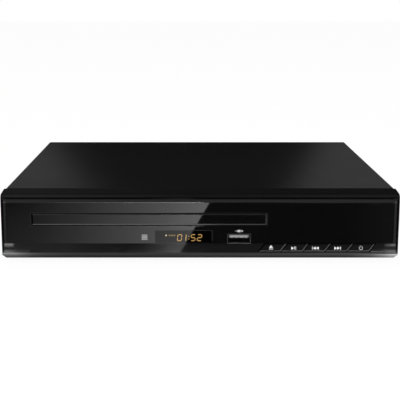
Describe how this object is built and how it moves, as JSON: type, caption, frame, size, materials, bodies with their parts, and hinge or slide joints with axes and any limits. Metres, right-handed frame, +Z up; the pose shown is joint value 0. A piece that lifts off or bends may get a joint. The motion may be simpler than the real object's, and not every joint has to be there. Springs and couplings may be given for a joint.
{
  "type": "dvd player",
  "caption": "Low flat disc player with a steel cover, gloss front, sliding disc tray, display window, USB socket and a row of slanted push buttons.",
  "frame": {"origin": "on the floor, under the middle of the bounding box, feet and rear sockets included", "axes": "+X to the right as seen from the front, +Y from the front to the back, +Z up"},
  "size_m": [0.226, 0.208, 0.0413],
  "materials": {
    "bezel_plastic": "gloss black moulded plastic",
    "lens_acrylic": "polished black acrylic",
    "window_acrylic": "polished smoked acrylic",
    "button_plastic": "satin black moulded plastic",
    "cover_paint": "fine-textured satin black powder coat",
    "chassis_steel": "zinc-plated sheet",
    "rear_paint": "matt black paint",
    "foot_rubber": "matt rubber",
    "board_green": "solder-masked laminate",
    "component_black": "moulded component cases",
    "tray_plastic": "satin moulded plastic",
    "frame_plastic": "moulded plastic",
    "gear_plastic": "natural acetal",
    "belt_rubber": "smooth rubber",
    "motor_steel": "plated steel can",
    "rod_steel": "ground steel",
    "bridge_steel": "zinc-plated sheet",
    "pickup_metal": "die-cast",
    "lens_cap": "black holder with a clear lens",
    "socket_metal": "nickel plate",
    "tongue_plastic": "grey moulded plastic",
    "jack_plastic": "moulded plastic",
    "yellow_plastic": "moulded plastic",
    "white_plastic": "moulded plastic",
    "red_plastic": "moulded plastic",
    "orange_plastic": "moulded plastic",
    "copper_winding": "taped winding on a ferrite core",
    "sink_aluminium": "extruded",
    "can_sleeve": "shrink sleeve over aluminium",
    "ribbon_film": "flat flexible cable"
  },
  "bodies": {
    "case": {"front_bezel": "bezel_plastic", "fascia_lens": "lens_acrylic", "display_window": "window_acrylic", "front_board": "board_green", "tact_switches": "component_black", "display_module": "component_black", "ir_receiver": "component_black", "usb_shell": "socket_metal", "usb_tongue": "tongue_plastic", "top_cover": "cover_paint", "chassis_pan": "chassis_steel", "rear_panel": "rear_paint", "rubber_feet": "foot_rubber", "loading_belt": "belt_rubber", "loading_motor": "motor_steel", "loader_frame": "frame_plastic", "clamp_bridge": "bridge_steel", "main_board": "board_green", "main_chips": "component_black", "main_capacitors": "can_sleeve", "av_jack_housing": "jack_plastic", "video_jack": "yellow_plastic", "left_audio_jack": "white_plastic", "right_audio_jack": "red_plastic", "digital_jack": "orange_plastic", "jack_sleeves": "socket_metal", "hdmi_shell": "socket_metal", "hdmi_tongue": "component_black", "mains_inlet": "jack_plastic", "mains_pins": "socket_metal", "psu_board": "board_green", "transformer": "copper_winding", "psu_capacitors": "can_sleeve", "psu_heatsink": "sink_aluminium", "front_ribbon": "ribbon_film", "loader_ribbon": "ribbon_film"},
    "tray": {"tray_door": "lens_acrylic", "disc_tray": "tray_plastic"},
    "drive_wheel": {"drive_gear": "gear_plastic"},
    "pulley_wheel": {"pulley_gear": "gear_plastic"},
    "motor_wheel": {"motor_pulley": "gear_plastic"},
    "cam": {"cam_slider": "gear_plastic"},
    "traverse": {"traverse_frame": "frame_plastic", "guide_rods": "rod_steel", "spindle_motor": "motor_steel", "sled_motor": "motor_steel"},
    "spindle": {"turntable": "tray_plastic"},
    "pickup": {"pickup_sled": "pickup_metal", "lens_actuator": "lens_cap"},
    "feed_wheel": {"feed_gear": "gear_plastic"},
    "sled_wheel": {"sled_pinion": "gear_plastic"},
    "disc_clamp": {"clamper": "gear_plastic"},
    "eject_button_body": {"eject_button": "button_plastic"},
    "play_button_body": {"play_button": "button_plastic"},
    "previous_button_body": {"previous_button": "button_plastic"},
    "next_button_body": {"next_button": "button_plastic"},
    "power_button_body": {"power_button": "button_plastic"}
  },
  "joints": [
    {"name": "tray_slide", "type": "slide", "parent": "case", "child": "tray", "axis": [0, -1, 0], "range_m": [0, 0.134]},
    {"name": "drive_gear_spin", "type": "hinge", "parent": "case", "child": "drive_wheel", "pos_m": [-0.0754, -0.078, 0.02], "axis": [0, 0, 1], "range_deg": [0, 640]},
    {"name": "pulley_gear_spin", "type": "hinge", "parent": "case", "child": "pulley_wheel", "pos_m": [-0.05725, -0.078, 0.02], "axis": [0, 0, 1], "range_deg": [-1280, 0]},
    {"name": "motor_pulley_spin", "type": "hinge", "parent": "case", "child": "motor_wheel", "pos_m": [-0.01725, -0.078, 0.018], "axis": [0, 0, 1], "range_deg": [-4755, 0]},
    {"name": "cam_slide", "type": "slide", "parent": "case", "child": "cam", "axis": [1, 0, 0], "range_m": [0, 0.018]},
    {"name": "traverse_tilt", "type": "hinge", "parent": "case", "child": "traverse", "pos_m": [-0.0288, 0.052, 0.01855], "axis": [-1, 0, 0], "range_deg": [0, 5]},
    {"name": "spindle_spin", "type": "hinge", "parent": "traverse", "child": "spindle", "pos_m": [-0.0288, -0.03233, 0.01865], "axis": [0, -0.0872, 0.9962], "continuous": true},
    {"name": "clamper_spin", "type": "hinge", "parent": "case", "child": "disc_clamp", "pos_m": [-0.0288, -0.032, 0.031], "axis": [0, 0, 1], "continuous": true},
    {"name": "pickup_slide", "type": "slide", "parent": "traverse", "child": "pickup", "axis": [0, 0.9962, 0.0872], "range_m": [0, 0.034]},
    {"name": "feed_gear_spin", "type": "hinge", "parent": "traverse", "child": "feed_wheel", "pos_m": [0.00255, 0.01003, 0.01638], "axis": [0, -0.0872, 0.9962], "range_deg": [-464, 0]},
    {"name": "sled_pinion_spin", "type": "hinge", "parent": "traverse", "child": "sled_wheel", "pos_m": [0.00255, 0.02094, 0.01734], "axis": [0, -0.0872, 0.9962], "range_deg": [0, 1207]},
    {"name": "eject_press", "type": "slide", "parent": "case", "child": "eject_button_body", "axis": [0, 1, 0], "range_m": [0, 0.0005], "stiffness_N_per_m": 1500},
    {"name": "play_press", "type": "slide", "parent": "case", "child": "play_button_body", "axis": [0, 1, 0], "range_m": [0, 0.0005], "stiffness_N_per_m": 1500},
    {"name": "previous_press", "type": "slide", "parent": "case", "child": "previous_button_body", "axis": [0, 1, 0], "range_m": [0, 0.0005], "stiffness_N_per_m": 1500},
    {"name": "next_press", "type": "slide", "parent": "case", "child": "next_button_body", "axis": [0, 1, 0], "range_m": [0, 0.0005], "stiffness_N_per_m": 1500},
    {"name": "power_press", "type": "slide", "parent": "case", "child": "power_button_body", "axis": [0, 1, 0], "range_m": [0, 0.0005], "stiffness_N_per_m": 1500}
  ],
  "couplings": [
    {"joint": "drive_gear_spin", "follows": "tray_slide", "rad_per_m": 83.333},
    {"joint": "pulley_gear_spin", "follows": "tray_slide", "rad_per_m": -166.67},
    {"joint": "motor_pulley_spin", "follows": "tray_slide", "rad_per_m": -619.05},
    {"joint": "traverse_tilt", "follows": "cam_slide", "rad_per_m": 4.8481},
    {"joint": "clamper_spin", "follows": "spindle_spin", "ratio": 1},
    {"joint": "feed_gear_spin", "follows": "pickup_slide", "rad_per_m": -238.1},
    {"joint": "sled_pinion_spin", "follows": "pickup_slide", "rad_per_m": 619.05}
  ]
}
